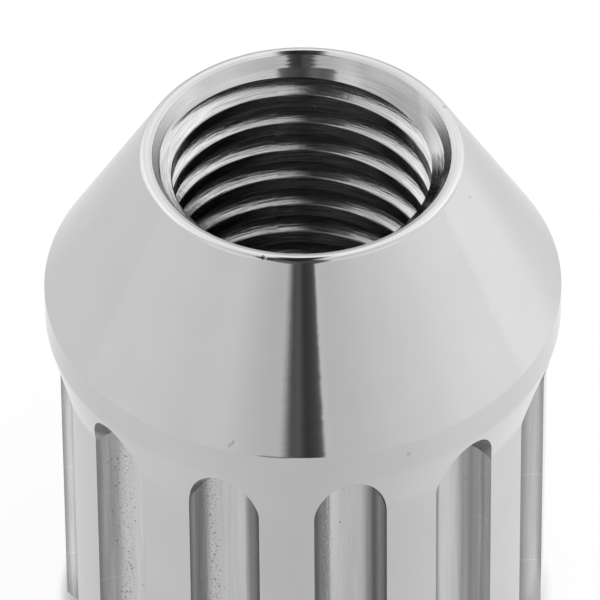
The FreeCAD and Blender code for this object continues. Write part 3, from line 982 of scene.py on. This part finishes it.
def add_floor(scene, finish, right):
    """A pale floor, which shows as white and keeps the nut's shadow."""
    half = 0.5 * FLOOR_SIZE
    corners = [(-half, -half, 0.0), (half, -half, 0.0), (half, half, 0.0), (-half, half, 0.0)]
    mesh = bpy.data.meshes.new("floor")
    mesh.from_pydata(corners, [], [(0, 1, 2, 3)])
    floor = bpy.data.objects.new("floor", mesh)
    scene.collection.objects.link(floor)
    material = bpy.data.materials.new("pale_floor")
    nodes = Nodes(material)
    place = nodes.add("ShaderNodeTexCoord", {}, "Object")
    far = nodes.add("ShaderNodeVectorMath", {0: place}, "Value", operation="LENGTH")
    side = nodes.along(place, right) / far * 0.5 + 0.5
    close_by, far_off = nodes.curve(side, FLOOR_CLOSE), nodes.curve(side, FLOOR_FAR)
    seen = close_by + far.between(CLOSE, FAR) * (far_off - close_by)
    camera, mirrored = nodes.ray("Is Camera Ray"), nodes.mirrored()
    own = nodes.add("ShaderNodeBsdfDiffuse", {"Color": (*finish.floor, 1.0)})
    white = nodes.add("ShaderNodeEmission", {"Color": nodes.tinted(WHITE, camera + mirrored * seen)})
    share = FLOOR_WHITE * (camera + mirrored) * far.between(*UNDER_NUT)
    nodes.end("ShaderNodeOutputMaterial", nodes.add("ShaderNodeMixShader", {0: share, 1: own, 2: white}))
    mesh.materials.append(material)


# The dark gap between the softboxes, by the angle up from the horizon in front, over the top and
# down behind. For each angle: how far the gap reaches to the left and to the right, how soft its
# two edges are, all in degrees, and how bright it is.
GAP = (
    (0.0, 8.6, 8.6, 1.0, 1.0, 0.10),
    (11.5, 8.5, 8.5, 0.8, 0.8, 0.045),
    (16.0, 8.1, 8.1, 2.4, 0.6, 0.10),
    (18.0, 7.2, 7.0, 2.4, 0.6, 0.10),
    (24.0, 8.4, 8.4, 2.0, 0.6, 0.10),
    (47.5, 19.6, 13.8, 1.5, 1.5, 0.17),
    (77.5, 17.0, 5.4, 0.6, 3.0, 0.05),
    (97.0, 6.4, 4.6, 0.8, 0.8, 0.05),
    (115.0, 3.5, 3.5, 0.8, 0.8, 0.06),
    (122.0, 0.0, 0.0, 0.8, 0.8, 0.10),
)
LEFT, RIGHT, LEFT_SOFT, RIGHT_SOFT, DIM = range(1, 6)
# How bright the gap is across, from its left edge to its right edge, beside its mean.
CORE = ((0.0, 1.8), (0.1, 1.5), (0.2, 1.15), (0.35, 1.36), (0.45, 0.95), (0.55, 0.58), (0.65, 0.6),
        (0.75, 0.74), (0.85, 0.95), (1.0, 1.6))
# How bright the walls beside the gap are, by the angle to the left or right in degrees.
WALLS = ((-90.0, 1.03), (-66.0, 1.0), (-48.0, 0.97), (-34.0, 0.98), (-26.0, 0.9), (-17.0, 0.81),
         (-9.0, 0.8), (8.0, 0.9), (11.0, 0.84), (30.0, 0.935), (45.0, 1.03), (62.0, 1.12), (90.0, 1.22))
# How much brighter the walls are over and behind the nut, by the angle up from the front, and how
# far across that goes, in radians.
RISE = ((0.0, 1.0), (25.0, 1.0), (50.0, 1.22), (85.0, 1.07), (105.0, 1.6), (143.0, 1.6), (165.0, 1.45),
        (180.0, 1.5))
RISE_REACH = (1.15, 0.85)
# Where the wall is darker again behind the nut: over it in half turns, across it in radians.
BEHIND = (0.8, 0.93)
MIDDLE = (0.35, 0.15)
MIDDLE_SHADE = 0.35
DEGREES = 180.0


def add_surroundings(scene, right, front):
    """White walls, and between the softboxes a dark gap that runs from the front up over the nut."""
    world = bpy.data.worlds.new("studio")
    scene.world = world
    nodes = Nodes(world)
    direction = nodes.add("ShaderNodeTexCoord", {}, "Generated")
    sideways = nodes.along(direction, right).math("ARCSINE")
    over = nodes.along(direction, (0.0, 0.0, 1.0)).math("ARCTAN2", nodes.along(direction, front)) / math.pi

    def by_angle(column):
        """A column of the gap's table, as a value that follows the angle over the nut."""
        return nodes.ramp(over, [(row[0] / DEGREES, row[column] / DEGREES) for row in GAP])

    left, right_side, left_soft, right_soft = (
        by_angle(column) * math.pi for column in (LEFT, RIGHT, LEFT_SOFT, RIGHT_SOFT))
    gap = (sideways + left).between(left_soft * -1.0, left_soft)
    gap = gap * (right_side - sideways).between(right_soft * -1.0, right_soft)
    gap = gap * over.between(GAP[-1][0] / DEGREES, GAP[-2][0] / DEGREES)
    dark = by_angle(DIM) * DEGREES * nodes.curve((sideways + left) / (left + right_side), CORE)
    stops = [(0.5 + angle / DEGREES, bright) for angle, bright in WALLS]
    walls = nodes.curve(sideways / math.pi + 0.5, stops)
    rise = nodes.curve(over, [(angle / DEGREES, bright) for angle, bright in RISE])
    rise = (rise - 1.0) * abs(sideways).between(*RISE_REACH) + 1.0
    middle = abs(sideways).between(*MIDDLE) * over.between(*BEHIND)
    walls = walls * rise * (1.0 - middle * MIDDLE_SHADE)
    seen = walls + gap * (dark - walls)
    camera, mirrored = nodes.ray("Is Camera Ray"), nodes.mirrored()
    light = WORLD_LIGHT * (1.0 - mirrored) * (1.0 - camera) + camera + mirrored * seen
    backdrop = nodes.add("ShaderNodeBackground", {"Color": nodes.tinted(WHITE, light)})
    nodes.end("ShaderNodeOutputWorld", backdrop)


LAMP_POWER = 2.4
LAMP_SIZE = 0.6
LAMP_PLACE = (0.35, -0.1, 0.8)


def add_softbox(scene):
    """A broad lamp overhead and to the right, which gives the floor its soft shadow."""
    lamp = bpy.data.lights.new("softbox", "AREA")
    lamp.shape, lamp.size = "SQUARE", LAMP_SIZE
    lamp.energy = LAMP_POWER
    softbox = bpy.data.objects.new("softbox", lamp)
    softbox.location = LAMP_PLACE
    softbox.rotation_euler = (-softbox.location).to_track_quat("-Z", "Y").to_euler()
    softbox.visible_glossy = False
    scene.collection.objects.link(softbox)


class WHEELNUT_OT_studio(bpy.types.Operator):
    """Sets the floor, the surroundings, the lamp and the camera"""

    bl_idname = "wheelnut.studio"
    bl_label = "Set the studio"

    def execute(self, context):
        scene = context.scene
        scene.view_settings.view_transform = "Standard"
        right, front = add_camera(scene, Form(scene.wheel_nut_sizes).rim)
        add_floor(scene, scene.wheel_nut_finish, right)
        add_surroundings(scene, right, front)
        add_softbox(scene)
        return {"FINISHED"}


class WHEELNUT_PT_panel(bpy.types.Panel):
    """Lists the nut's steps and sizes in the sidebar"""

    bl_label = "Wheel Nut"
    bl_idname = "WHEELNUT_PT_panel"
    bl_space_type = "VIEW_3D"
    bl_region_type = "UI"
    bl_category = "Wheel Nut"

    def draw(self, context):
        layout = self.layout
        for step in STEPS:
            layout.operator(step.bl_idname)
        for group in (context.scene.wheel_nut_sizes, context.scene.wheel_nut_finish):
            for name in group.__annotations__:
                layout.prop(group, name)


STEPS = (WHEELNUT_OT_nut, WHEELNUT_OT_studio)
CLASSES = (WheelNutSizes, WheelNutFinish, *STEPS, WHEELNUT_PT_panel)


def register():
    """Makes the classes known and gives the scene its sizes and finish."""
    for kind in CLASSES:
        bpy.utils.register_class(kind)
    bpy.types.Scene.wheel_nut_sizes = bpy.props.PointerProperty(type=WheelNutSizes)
    bpy.types.Scene.wheel_nut_finish = bpy.props.PointerProperty(type=WheelNutFinish)


def unregister():
    """Takes back what register gave."""
    del bpy.types.Scene.wheel_nut_finish
    del bpy.types.Scene.wheel_nut_sizes
    for kind in reversed(CLASSES):
        bpy.utils.unregister_class(kind)


def main():
    """Builds everything in order."""
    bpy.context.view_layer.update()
    register()
    bpy.ops.wheelnut.nut()
    bpy.ops.wheelnut.studio()


if __name__ == "__main__":
    main()
